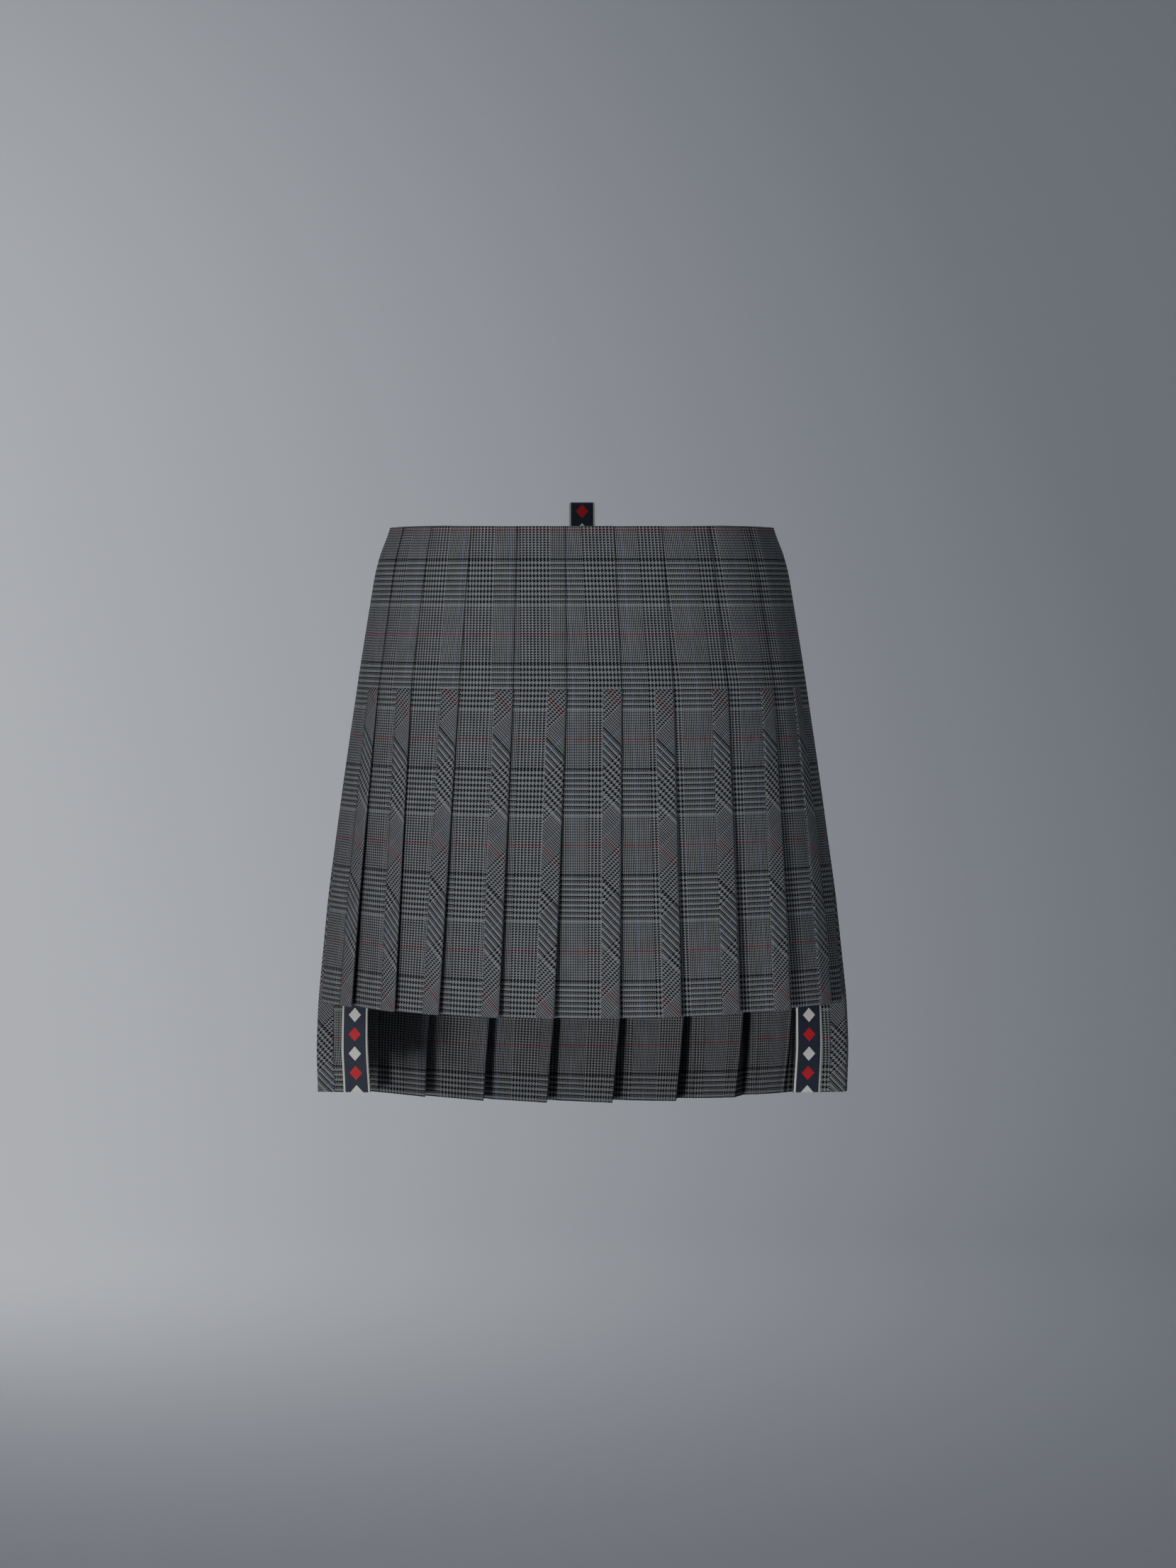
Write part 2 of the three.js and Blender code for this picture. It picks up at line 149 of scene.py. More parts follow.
# %% Sizes of the pleats
CLOTH = 0.7
AIR = 0.15
STEP = CLOTH + AIR
TOP = CLOTH / 2
PLEAT_CLOTH = 86.0
STRIP_WIDTH = 12.3
FRONT_FOLDS = {
    "waist": [-147, -113, -79.5, -46, -12, 22, 56, 92, 128, 163],
    "hip": [-162, -127, -88, -48.5, -11, 27.5, 64, 105, 146, 184],
    "hem": [-179, -138, -103, -59, -20, 26, 70, 113.5, 156, 203],
    "open": [0.9, 0.8, 0.9, 1.1, 1.0, 0.7, 0.8, 1.5, 1.3, 1.0],
    "check": [19, 17, 15.4, 15, 9.9, 0, -5, -10.4, -15, -20],
}
BACK_FOLDS = 10
BACK_LEAN = np.linspace(4.5, 10.0, BACK_FOLDS)[:, None]
BACK_CHECK = 19.0 - 5.2 * np.arange(BACK_FOLDS)
FLAT_TIP = TOP + 2 * STEP
LAYERS = {
    "z": [0, HIP, -250, FRONT_HEM, SIDE_HEM],
    "fold": [STEP, STEP, 1.3, 1.6, 1.8],
    "front_tip": [FLAT_TIP, FLAT_TIP, 8.2, 11.5, 11.5],
    "back_tip": [FLAT_TIP, FLAT_TIP, 13, 19.3, 24],
    "free": [0, 0, 1, 1, 1],
}
SIDES = {
    "z": [0, HIP, -250, FRONT_HEM, SIDE_HEM],
    "front_edge": [9, 18, 30, 36, 38],
    "corner": [4, 14, 20, 24, 24],
    "reach": [6.5, 14, 38.5, 38.5, 38.5],
    "tip": [3.1, 4, 4.4, 4.4, 4.4],
    "turn": [0, 0, 0.45, 0.9, 1],
}
FLAP_SLANT = 0.22
EDGE_CLEAR = 1.5
LEAST_STEP = 0.8
RIBBON_WIDTH = 19.2

# %% Sizes of the check
WARP = {"thread": 0.312, "repeat": 144, "fours": 72, "line": 108, "twos_start": 0}
WEFT = {"thread": 0.455, "repeat": 160, "fours": 72, "line": 116, "twos_start": 2}
CHECK_WIDTH = WARP["thread"] * WARP["repeat"]
COARSE_WIDTH = WARP["thread"] * WARP["fours"]
WEFT_START = 49.8
CHECK_LENGTH = WEFT["thread"] * WEFT["repeat"]
print("the check repeats every", round(CHECK_WIDTH, 1), "by", round(CHECK_LENGTH, 1), "mm")


EDGE_ROWS = (0.9, 2.2)


def heights(hem, step):
    """Row heights from the waist to a hem, closer together where the cloth turns over at its edges."""
    near, far = EDGE_ROWS
    inner = np.linspace(-far, hem + far, int(round(-hem / step)))
    return np.concatenate([[0, -near], inner, [hem + near, hem]])


# %% [markdown]
# ## A fold's section
# Every row of the sheet is one long path of (arc, depth, cloth) triples. Straight stretches are read off
# a few stops, softened with a 1-2-1 filter, and the folds between them are half circles.

# %% Stretches and folds
SOFTEN = 3


def along(stops, shares):
    """Points on the straight lines between stops: share 1.5 is halfway from stop 1 to stop 2."""
    stops = np.stack(np.broadcast_arrays(*stops), axis=1)
    first = np.minimum(shares.astype(int), stops.shape[1] - 2)
    part = (shares - first)[None, :]
    return stops[:, first] * (1 - part) + stops[:, first + 1] * part


def softened(values):
    """A 1-2-1 average along the path, repeated, with both ends kept."""
    for _ in range(SOFTEN):
        values = values.copy()
        values[:, 1:-1] = (values[:, :-2] + 2 * values[:, 1:-1] + values[:, 2:]) / 4
    return values


PAST_FOLD = 2.5
STRIP_POINTS = 6
PANEL_SHARES = np.concatenate(
    [np.linspace(0, 3, 19)[:-1], np.linspace(3, 4, STRIP_POINTS)],
)
RETURN_SHARES = np.linspace(0, 1, 9)[1:-1]
FLAP_SHARES = np.linspace(0, 6, 25)
BEND = np.linspace(0, math.pi, 8)


def underlap_of(pitch, drop):
    """How far an inner fold lies back. With T cloth a pleat, p pitch and d drop, x solves
    sqrt(x^2 + d^2) + sqrt((x + p)^2 + d^2) = T, the two sides of a triangle."""
    share = pitch / PLEAT_CLOTH
    level = (PLEAT_CLOTH - pitch * share) / 2
    rest = 1 - share**2
    root = np.sqrt((level * share) ** 2 + rest * (level**2 - drop**2))
    return (root - level * share) / rest


def line_at(first, last, arc):
    """The depth at an arc, on the straight line between two (arc, depth) places."""
    return first[1] + (last[1] - first[1]) * (arc - first[0]) / (last[0] - first[0])


def run_of(arcs, depths):
    """How far the cloth has run at each point of a path, from its first point."""
    steps = np.hypot(np.diff(arcs, axis=1), np.diff(depths, axis=1))
    return np.concatenate([np.zeros((len(arcs), 1)), np.cumsum(steps, axis=1)], axis=1)


def panel(start, fold, back, free, radius, cloth_at_fold):
    """From start = two (arc, depth) stops, on to an outer fold: four straight stretches, softened."""
    end, strip = (fold - radius, TOP), fold - STRIP_WIDTH
    bend = np.minimum(back, strip - PAST_FOLD)
    rise = TOP + (line_at(start[0], end, bend) - TOP) * free
    stops = [*start, (bend, rise), (strip, line_at((bend, rise), end, strip)), end]
    arcs = along([stop[0] for stop in stops], PANEL_SHARES)
    depths = softened(along([stop[1] for stop in stops], PANEL_SHARES))
    run = run_of(arcs, depths)
    return np.stack([arcs, depths, cloth_at_fold - radius[:, None] + run - run[:, -1:]], axis=-1)


def fold_under(fold, back, radius, tip, cloth_at_fold, cloth_at_start):
    """Round the outer fold, straight back under the panel, and round the inner fold: two half circles."""
    bend, part = BEND[None, :], RETURN_SHARES[None, :]
    fold, back, radius, tip = (value[:, None] for value in (fold, back, radius, tip))
    outer_arcs = fold - radius + radius * np.sin(bend)
    outer_depths = TOP + radius * (1 - np.cos(bend))
    low, high = TOP + 2 * radius, tip - 2 * radius
    return_arcs = (fold - radius) * (1 - part) + (back + radius) * part
    return_depths = low * (1 - part) + high * part
    inner_arcs = back + radius - radius * np.sin(bend)
    inner_depths = tip - radius * (1 + np.cos(bend))
    arcs = np.concatenate([outer_arcs, return_arcs, inner_arcs[:, :-1]], axis=1)
    depths = np.concatenate([outer_depths, return_depths, inner_depths[:, :-1]], axis=1)
    share = np.linspace(0, 1, arcs.shape[1] + 1)[None, :-1]
    cloth = (cloth_at_fold - radius) * (1 - share) + cloth_at_start[:, None] * share
    return np.stack([arcs, depths, cloth], axis=-1)[:, 1:]


def pleated(z, start, folds, tips, landing, cloth_at_folds):
    """Panels and folds in turn, from start. Gives the pieces of the path, its open end, and the number of
    the point at each fold's edge."""
    radius, free = column(LAYERS, "fold", z) / 2, column(LAYERS, "free", z)
    least = np.maximum(FLAT_TIP, TOP + 2 * radius + STEP)
    gaps = np.diff(folds, axis=0, append=2 * folds[-1:] - folds[-2:-1])
    backs = folds - underlap_of(gaps, tips - TOP)
    panels = []
    for k, (fold, back, tip) in enumerate(zip(folds, backs, tips)):
        panels.append(panel(start, fold, back, free, radius, cloth_at_folds[k]))
        reached = folds[k + 1] if k + 1 < len(folds) else landing
        hanging = line_at((back, tip), (reached, TOP), fold + PAST_FOLD)
        under = least + (np.maximum(least, hanging) - least) * free
        start = ((back + radius, tip), (fold + PAST_FOLD, under))
    returns = np.hypot(folds - backs, tips - TOP)
    pieces, edges, count = [], [], 0
    for k, piece in enumerate(panels):
        following = panels[k + 1][:, 0, 2] if k + 1 < len(folds) else cloth_at_folds[k] + returns[k]
        under_fold = fold_under(folds[k], backs[k], radius, tips[k], cloth_at_folds[k], following)
        edges.append(count + piece.shape[1] - 1)
        pieces.extend([piece, under_fold])
        count += piece.shape[1] + under_fold.shape[1]
    return pieces, (start, following), edges


def ended(pieces, end, stops):
    """The path with its last stretch: from the last inner fold through the stops, softened."""
    start, cloth = end
    arcs, depths = zip(*start, *stops)
    shares = np.linspace(0, len(arcs) - 1, 6 * (len(arcs) - 1) + 1)
    arcs, depths = along(arcs, shares), softened(along(depths, shares))
    last = np.stack([arcs, depths, cloth[:, None] + run_of(arcs, depths)], axis=-1)
    return np.concatenate([*pieces, last], axis=1)


FLAT_PITCH = 38.0
print("a flat pleat lies", round(float(underlap_of(FLAT_PITCH, 0.0)), 1), "mm back under itself")

# %% [markdown]
# ## The front
# The front is one panel with ten pleats. It stops at two free side edges, each lying on the back's flap.

# %% The front's path
LANDING = 0.55


def cloth_at(check):
    return COARSE_WIDTH + np.array(check) + 2 * CHECK_WIDTH * np.arange(len(check))


def front_path(z):
    """From the left free edge, through ten pleats, to the right free edge."""
    edge = np.array([ring_at(height)["total"] / 4 for height in z]) - column(SIDES, "front_edge", z)
    rows = {"z": [0, HIP, FRONT_HEM]}
    folds = np.array(
        [
            column(rows | {"arc": [FRONT_FOLDS[at][k] for at in ("waist", "hip", "hem")]}, "arc", z)
            for k in range(len(FRONT_FOLDS["open"]))
        ]
    )
    opens = np.array(FRONT_FOLDS["open"])[:, None]
    tips = FLAT_TIP + (column(LAYERS, "front_tip", z) - FLAT_TIP) * opens
    top = np.full_like(z, TOP)
    start = ((-edge, top), ((folds[0] - PLEAT_CLOTH / 3 - edge) / 2, top))
    last = folds[-1] + PAST_FOLD
    landing = last + (edge - last) * LANDING
    pieces, end, edges = pleated(z, start, folds, tips, landing, cloth_at(FRONT_FOLDS["check"]))
    return ended(pieces, end, [(landing, top), (edge, top)]), edges


print("the front has", len(FRONT_FOLDS["open"]), "pleats of", PLEAT_CLOTH, "mm of cloth")

# %% [markdown]
# ## The back
# The back has ten pleats between two folded corners. Past each corner a plain flap turns in towards the
# wearer, so that the open side vent shows a finished face.

# %% The back's ring and path
def back_place(z):
    """The ring behind the corners. Past a corner, a share of the way from the ring to a straight flap."""
    ring = ring_at(z)
    corner = ring["total"] / 4 - column(SIDES, "corner", z)
    turn = column(SIDES, "turn", z)

    def place(arc):
        on = on_ring(ring, arc)
        signed = np.where(arc > ring["total"] / 2, arc - ring["total"], arc)
        past = np.clip(corner - np.abs(signed), 0, None)
        across = past / math.hypot(1, FLAP_SLANT)
        turned = np.stack([-np.sign(signed) * across, -FLAP_SLANT * across], axis=-1)
        straight = on_ring(ring, np.sign(signed) * corner) + turned
        return np.where((past > 0)[..., None], on * (1 - turn) + straight * turn, on)

    return place


def front_place(z):
    """The plain outline."""
    ring = ring_at(z)
    return lambda arc: on_ring(ring, arc)


def flap(z, corner, side):
    """A flap from its corner inwards, on the right (1) or left (-1): under its strip, then the front."""
    reach = column(SIDES, "reach", z)
    lap = column(SIDES, "front_edge", z) - column(SIDES, "corner", z)
    under = np.minimum(lap - EDGE_CLEAR, STRIP_WIDTH - LEAST_STEP)
    ribbon = reach - AIR - RIBBON_WIDTH
    stops = [np.zeros_like(reach)]
    for stop in (under, STRIP_WIDTH, ribbon, ribbon + RIBBON_WIDTH / 2, reach - AIR, reach):
        stops.append(np.maximum(stops[-1] + LEAST_STEP / 2, stop))
    tip = column(SIDES, "tip", z)
    share = [np.clip((stop - under) / (reach - under), 0, 1) for stop in stops]
    depths = [TOP + 2 * STEP + (tip - TOP - 2 * STEP) * part for part in share]
    depths[0] = np.full_like(reach, TOP + STEP)
    past, depth = along(stops, FLAP_SHARES), softened(along(depths, FLAP_SHARES))
    return np.stack([corner[:, None] - side * past, depth, -side * past], axis=-1)


def back_path(z):
    """From the right flap's tip round the corner, through ten pleats, to the left flap's tip."""
    total = np.array([ring_at(height)["total"] for height in z])
    corner = total / 4 - column(SIDES, "corner", z)
    pitch = (total - 2 * corner) / (BACK_FOLDS + 1)
    lean = BACK_LEAN * np.clip((HIP - z) / (HIP - SIDE_HEM), 0, 1)
    folds = corner + pitch * np.arange(1, BACK_FOLDS + 1)[:, None] + lean
    tips = np.broadcast_to(column(LAYERS, "back_tip", z), folds.shape)
    right = flap(z, corner, 1)[:, ::-1]
    left = flap(z, total - corner, -1)
    depth = np.full_like(z, TOP + STEP)
    start = ((corner, depth), (corner + pitch / 4, depth))
    pieces, end, edges = pleated(z, start, folds, tips, total - corner, cloth_at(BACK_CHECK))
    body = ended(pieces, end, [(total - corner, depth)])
    right[..., 2] += body[:, :1, 2] - right[:, -1:, 2]
    left[..., 2] += body[:, -1:, 2] - left[:, :1, 2]
    path = np.concatenate([right[:, :-1], body, left[:, 1:]], axis=1)
    shift = right.shape[1] - 1
    return path, [edge + shift for edge in edges], right, left


print("the back has", BACK_FOLDS, "pleats, and a flap of", max(SIDES["reach"]), "mm at each side")

# %% [markdown]
# ## From a path to a mesh
# Every piece of cloth is a grid: rows go down the skirt and columns follow the cloth. Its UV map is the
# cloth laid flat, in metres, so that the weave follows the grain through each fold.

# %% Sheets
def lifted(path, distance):
    """A path moved out of the skirt by a distance, along its own normal in (arc, depth)."""
    way = np.gradient(path[..., :2], axis=1)
    way /= np.linalg.norm(way, axis=-1, keepdims=True)
    moved = path.copy()
    moved[..., 0] += way[..., 1] * distance
    moved[..., 1] -= way[..., 0] * distance
    return moved


def grid_faces(rows, columns, closed=False):
    """Four corners a face, down and then across, so that faces point out of the skirt."""
    across = columns if closed else columns - 1
    row, item = np.meshgrid(np.arange(rows - 1), np.arange(across), indexing="ij")
    start, following = row * columns + item, row * columns + (item + 1) % columns
    return np.stack([start, start + columns, following + columns, following], axis=-1).reshape(-1, 4)


def mesh_piece(name, points, cloth, thickness, material, closed=False):
    """A grid of points (metres) and its flat cloth places (metres) as an object with a real thickness."""
    faces = grid_faces(*points.shape[:2], closed)
    mesh = bpy.data.meshes.new(name)
    mesh.from_pydata(points.reshape(-1, 3).tolist(), [], faces.tolist())
    layer = mesh.uv_layers.new(name="cloth")
    layer.data.foreach_set("uv", cloth.reshape(-1, 2)[faces].ravel())
    mesh.polygons.foreach_set("use_smooth", np.ones(len(faces), bool))
    mesh.materials.append(material)
    piece = bpy.data.objects.new(name, mesh)
    bpy.context.collection.objects.link(piece)
    wall = piece.modifiers.new("cloth thickness", "SOLIDIFY")
    wall.thickness = thickness * MM
    wall.offset = 0
    wall.use_even_offset = True
    return piece


def placed(z, path, place_at):
    """Every (arc, depth) of a path, on its own height's ring, as x, y and hung z in metres."""
    rows = []
    for height, row in zip(z, path):
        place = place_at(height)
        flat, level = moved_in(place, row[:, 0], row[:, 1]), hung(height, place(row[:, 0])[:, 1])
        rows.append(np.column_stack([flat, level]))
    return np.stack(rows) * MM


def straight_grain(z, path, start=0.0):
    """u follows the cloth across the pleats and v runs down them, from a start at the waist."""
    return np.dstack([path[..., 2], np.broadcast_to(start - z[:, None], path.shape[:2])]) * MM


def bias_grain(z, path, start):
    """The same, turned 45 degrees: u = (x + y) / root 2 and v = (y - x) / root 2, with y down."""
    across, down = path[..., 2], HIP - z[:, None]
    return np.dstack([across + down, down - across]) * MM / math.sqrt(2) + np.array(start) * MM


# %% [markdown]
# ## Materials
# One small function adds a node, and two more make the commonest kinds. Colours are written as sRGB hex, as
# a colour card gives them, and turned to linear light once.

# %% Helpers for materials
def linear(hex_code):
    """sRGB hex to linear RGBA: c / 12.92 near black, ((c + 0.055) / 1.055) ^ 2.4 above it."""
    parts = [int(hex_code[i : i + 2], 16) / 255 for i in (1, 3, 5)]
    return (*[c / 12.92 if c <= 0.04045 else ((c + 0.055) / 1.055) ** 2.4 for c in parts], 1.0)


def add(tree, kind, inputs=None, **settings):
    """One node: settings are its properties, and inputs gives its sockets a value, a node or a socket."""
    made = tree.nodes.new(kind)
    for name, value in settings.items():
        setattr(made, name, value)
    for socket, value in (inputs or {}).items():
        if isinstance(value, bpy.types.Node):
            value = value.outputs[0]
        if isinstance(value, bpy.types.NodeSocket):
            tree.links.new(value, made.inputs[socket])
        else:
            made.inputs[socket].default_value = value
    return made


def worked(tree, operation, *values):
    """One step of arithmetic on values, each a number, a node or a socket."""
    return add(tree, "ShaderNodeMath", dict(enumerate(values)), operation=operation)


def mixed(tree, share, low, high):
    """A colour from low, at share 0, to high, at share 1."""
    mix = add(tree, "ShaderNodeMix", {0: share, 6: low, 7: high}, data_type="RGBA")
    return mix.outputs[2]


def finish_named(name, roughness):
    """A material with an empty tree, its surface shader, and the piece's flat cloth places."""
    material = bpy.data.materials.new(name)
    material.use_nodes = True
    tree = material.node_tree
    tree.nodes.clear()
    shader = add(tree, "ShaderNodeBsdfPrincipled", {"Roughness": roughness, "IOR": 1.5})
    add(tree, "ShaderNodeOutputMaterial", {"Surface": shader})
    place = add(tree, "ShaderNodeUVMap", uv_map="cloth")
    return material, tree, shader, place


# %% [markdown]
# ## The check
# This is worsted wool in a 2/2 twill: each thread passes over two and under two, one step along on every
# row, which makes a fine diagonal. The check comes from the order of dark and light threads. Four and four
# gives small hound's teeth, two and two gives a fine hairline, and where one meets the other there are
# bars. The hairline stands upright because its wefts start two threads late. A chart of those orders is
# the whole pattern, so the shader reads each thread's number and asks which thread is on top. One red weft
# and one blue warp run through the hairline.

# %% The wool check
DARK_WOOL = "#0d0e10"
LIGHT_WOOL = "#8a8c8f"
RED_WOOL = "#cc4248"
BLUE_WOOL = "#5568b4"


def thread_colour(tree, number, order, line_colour):
    """Dark or light by a thread's number in its repeat: four and four first, then two and two."""
    in_repeat = worked(tree, "FLOORED_MODULO", number, order["repeat"])
    light = []
    for size, start in ((4, 0), (2, order["twos_start"])):
        counted = worked(tree, "ADD", in_repeat, start)
        in_pair = worked(tree, "FLOORED_MODULO", counted, 2 * size)
        light.append(worked(tree, "GREATER_THAN", in_pair, size - 0.5))
    fours = worked(tree, "LESS_THAN", in_repeat, order["fours"] - 0.5)
    is_light = add(tree, "ShaderNodeMix", {0: fours, 2: light[1], 3: light[0]})
    plain = mixed(tree, is_light, linear(DARK_WOOL), linear(LIGHT_WOOL))
    is_line = worked(tree, "COMPARE", in_repeat, order["line"], 0.5)
    return mixed(tree, is_line, plain, linear(line_colour))


def wool_check():
    """Worsted 2/2 twill: colour by chart, a dry surface, a faint nap, and threads that stand up."""
    material, tree, shader, place = finish_named("worsted wool check", roughness=0.78)
    threads_a_metre = (1 / (WARP["thread"] * MM), 1 / (WEFT["thread"] * MM), 0)
    counted = add(
        tree,
        "ShaderNodeVectorMath",
        {0: place, 1: threads_a_metre},
        operation="MULTIPLY",
    )
    numbers = add(tree, "ShaderNodeVectorMath", {0: counted}, operation="FLOOR")
    split = add(tree, "ShaderNodeSeparateXYZ", {0: numbers})
    warp = thread_colour(tree, split.outputs["X"], WARP, BLUE_WOOL)
    weft = thread_colour(tree, split.outputs["Y"], WEFT, RED_WOOL)
    diagonal = worked(tree, "ADD", split.outputs["X"], split.outputs["Y"])
    in_four = worked(tree, "FLOORED_MODULO", diagonal, 4)
    warp_on_top = worked(tree, "LESS_THAN", in_four, 1.5)
    woven = mixed(tree, warp_on_top, weft, warp)
    slub = add(tree, "ShaderNodeTexNoise", {"Vector": place, "Scale": 90.0, "Detail": 3.0})
    tone = add(
        tree,
        "ShaderNodeMapRange",
        {"Value": slub, "From Min": 0.3, "From Max": 0.7, "To Min": 0.9, "To Max": 1.08},
    )
    toned = add(tree, "ShaderNodeVectorMath", {0: woven, "Scale": tone}, operation="SCALE")
    tree.links.new(toned.outputs[0], shader.inputs["Base Color"])
    fluff = add(tree, "ShaderNodeTexNoise", {"Vector": place, "Scale": 900.0, "Detail": 2.0})
    relief = worked(tree, "MULTIPLY_ADD", warp_on_top, 0.5, fluff)
    bump = add(tree, "ShaderNodeBump", {"Strength": 0.25, "Distance": 0.15 * MM, "Height": relief})
    tree.links.new(bump.outputs[0], shader.inputs["Normal"])
    shader.inputs["Specular IOR Level"].default_value = 0.12
    shader.inputs["Sheen Weight"].default_value = 0.02
    shader.inputs["Sheen Roughness"].default_value = 0.5
    return material


check = wool_check()
print("made:", check.name)

# %% [markdown]
# ## Ribbon and facing
# The vents are edged with grosgrain, a ribbon whose thick weft makes ribs straight across it, and the
# hanging loop is a piece of the same. It is navy with pale edges and a row of woven lozenges, red and
# cream in turn. The waist is faced with satin, smooth enough to take a soft highlight.

# %% Ribbon and satin
RIB = 0.75
PALE_EDGE = 1.3
LOZENGE = {"length": 14.0, "half_width": 4.6, "half_height": 5.2}
NAVY, RED_SILK, CREAM_SILK = "#22293c", "#c81a2c", "#e6e4dc"


def grosgrain():
    """u is across the ribbon from its middle, v is along it. A lozenge is |u| / a + |v| / b under 1."""
    material, tree, shader, place = finish_named("woven grosgrain ribbon", roughness=0.55)
    split = add(tree, "ShaderNodeSeparateXYZ", {0: place})
    across = worked(tree, "ABSOLUTE", split.outputs["X"])
    along_ribbon = worked(tree, "DIVIDE", split.outputs["Y"], LOZENGE["length"] * MM)
    number = worked(tree, "ROUND", along_ribbon)
    up = worked(tree, "ABSOLUTE", worked(tree, "SUBTRACT", along_ribbon, number))
    reach = worked(tree, "MULTIPLY", up, LOZENGE["length"] / LOZENGE["half_height"])
    total = worked(tree, "MULTIPLY_ADD", across, 1 / (LOZENGE["half_width"] * MM), reach)
    inside = worked(tree, "LESS_THAN", total, 1.0)
    odd = worked(tree, "FLOORED_MODULO", number, 2.0)
    lozenge = mixed(tree, odd, linear(RED_SILK), linear(CREAM_SILK))
    ground = mixed(tree, inside, linear(NAVY), lozenge)
    edge = worked(tree, "GREATER_THAN", across, (RIBBON_WIDTH / 2 - PALE_EDGE) * MM)
    whole = mixed(tree, edge, ground, linear(CREAM_SILK))
    tree.links.new(whole, shader.inputs["Base Color"])
    turn = worked(tree, "MULTIPLY", split.outputs["Y"], 2 * math.pi / (RIB * MM))
    ribs = worked(tree, "SINE", turn)
    bump = add(tree, "ShaderNodeBump", {"Strength": 0.5, "Distance": 0.15 * MM, "Height": ribs})
    tree.links.new(bump.outputs[0], shader.inputs["Normal"])
    shader.inputs["Sheen Weight"].default_value = 0.1
    return material


def satin():
    """Cream lining satin: long floats lie flat, so it is smoother than the wool, with a faint grain."""
    material, tree, shader, place = finish_named("cream lining satin", roughness=0.42)
    grain = add(tree, "ShaderNodeTexNoise", {"Vector": place, "Scale": 350.0, "Detail": 2.0})
    shade = mixed(tree, grain, linear("#cfc8ba"), linear("#e4ddd0"))
    tree.links.new(shade, shader.inputs["Base Color"])
    bump = add(tree, "ShaderNodeBump", {"Strength": 0.15, "Distance": 0.1 * MM, "Height": grain})
    tree.links.new(bump.outputs[0], shader.inputs["Normal"])
    return material


ribbon_finish, satin_finish = grosgrain(), satin()
print("made:", ribbon_finish.name, "and", satin_finish.name)

# %% [markdown]
# ## Front and back
# The two panels are cut, pleated and sewn before anything goes on them, so they come first. Rows lie every
# few millimetres, close enough for a smooth hem and few enough to keep each panel light.

# %% Front and back
front_z, back_z = heights(FRONT_HEM, step=4.5), heights(SIDE_HEM, step=5.5)
front, front_edges = front_path(front_z)
back, back_edges, right_flap, left_flap = back_path(back_z)
front_piece = mesh_piece(
    "front_cloth",
    placed(front_z, front, front_place),
    straight_grain(front_z, front, WEFT_START),
    CLOTH,
    check,
)
back_piece = mesh_piece(
    "back_cloth",
    placed(back_z, back, back_place),
    straight_grain(back_z, back, WEFT_START),
    CLOTH,
    check,
)
for piece in (front_piece, back_piece):
    print(piece.name, "has", 4 * len(piece.data.polygons), "triangles once it is thick")

# %% [markdown]
# ## Bias strips
# Each outer fold carries a flat strip of the same cloth, cut on the bias so that it follows the flare. It
# lies on the last of the panel and ends on the fold's edge, so its points are the panel's, moved out.

# %% Bias strips
STRIP_CLOTH = 0.6
BIAS_START = {"warp": 11.0, "weft": 38.2}
BIAS_DRIFT, BIAS_TURN = 3.0, 2.4
SEWN_AIR = 0.05
FOLD_POINTS = 4
strips = []


def strip_piece(name, z, path, place_at, number):
    """A strip on a slice of a path, from the hip down, its own bias grain measured from its right edge."""
    below = z <= HIP
    lying = lifted(path, (CLOTH + STRIP_CLOTH) / 2 + SEWN_AIR)[below]
    lying[..., 2] -= lying[:, -1:, 2]
    drift = BIAS_DRIFT * math.sin(BIAS_TURN * number)
    grain = bias_grain(z[below], lying, (BIAS_START["warp"] + drift, BIAS_START["weft"] + drift))
    piece = mesh_piece(name, placed(z[below], lying, place_at), grain, STRIP_CLOTH, check)
    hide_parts(name.removesuffix("_bias"))
    strips.append(piece)


for label, z, path, edges, place_at in (
    ("front", front_z, front, front_edges, front_place),
    ("back", back_z, back, back_edges, back_place),
):
    for number, edge in enumerate(edges, start=1):
        on_fold = path[:, edge - STRIP_POINTS + 1 : edge + FOLD_POINTS]
        strip_piece(f"{label}_strip_{number}_bias", z, on_fold, place_at, number)
on_flap = FLAP_SHARES <= 2
RIGHT_VENT, LEFT_VENT = 12, 13
strip_piece("right_vent_strip_bias", back_z, right_flap[:, on_flap[::-1]], back_place, RIGHT_VENT)
strip_piece("left_vent_strip_bias", back_z, left_flap[:, on_flap], back_place, LEFT_VENT)
print(len(strips), "strips, each", STRIP_WIDTH, "mm wide")

# %% [markdown]
# ## Vent ribbons and the hanging loop
# A ribbon is stitched along the free edge of each flap. The loop is the same ribbon folded over once and
# sewn inside the centre back, by which the skirt hangs on a hook.

# %% Vent ribbons
RIBBON_CLOTH = 0.5
RIBBON_TOP = -265.0
ribbons = []
for name, path, mask in (
    ("right_vent_ribbon", right_flap, ((FLAP_SHARES >= 3) & (FLAP_SHARES <= 5))[::-1]),
    ("left_vent_ribbon", left_flap, (FLAP_SHARES >= 3) & (FLAP_SHARES <= 5)),
):
    below = back_z <= RIBBON_TOP
    lying = lifted(path[:, mask], (CLOTH + RIBBON_CLOTH) / 2 + SEWN_AIR)[below]
    lying[..., 2] -= (lying[:, :1, 2] + lying[:, -1:, 2]) / 2
    grain = straight_grain(back_z[below], lying)
    points = placed(back_z[below], lying, back_place)
    piece = mesh_piece(f"{name}_woven", points, grain, RIBBON_CLOTH, ribbon_finish)
    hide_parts(name)
    ribbons.append(piece)
print(len(ribbons), "ribbons, each", RIBBON_TOP - SIDE_HEM, "mm long")

# %% The hanging loop
loop_low, loop_high = (np.array(corner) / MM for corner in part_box("hanging_loop"))
loop_middle = (loop_low + loop_high) / 2
LOOP_CLOTH = 0.7
LEG_POINTS, BEND_POINTS, LOOP_COLUMNS = 14, 12, 9
PINCH = {"share": 0.25, "spread": 60.0}


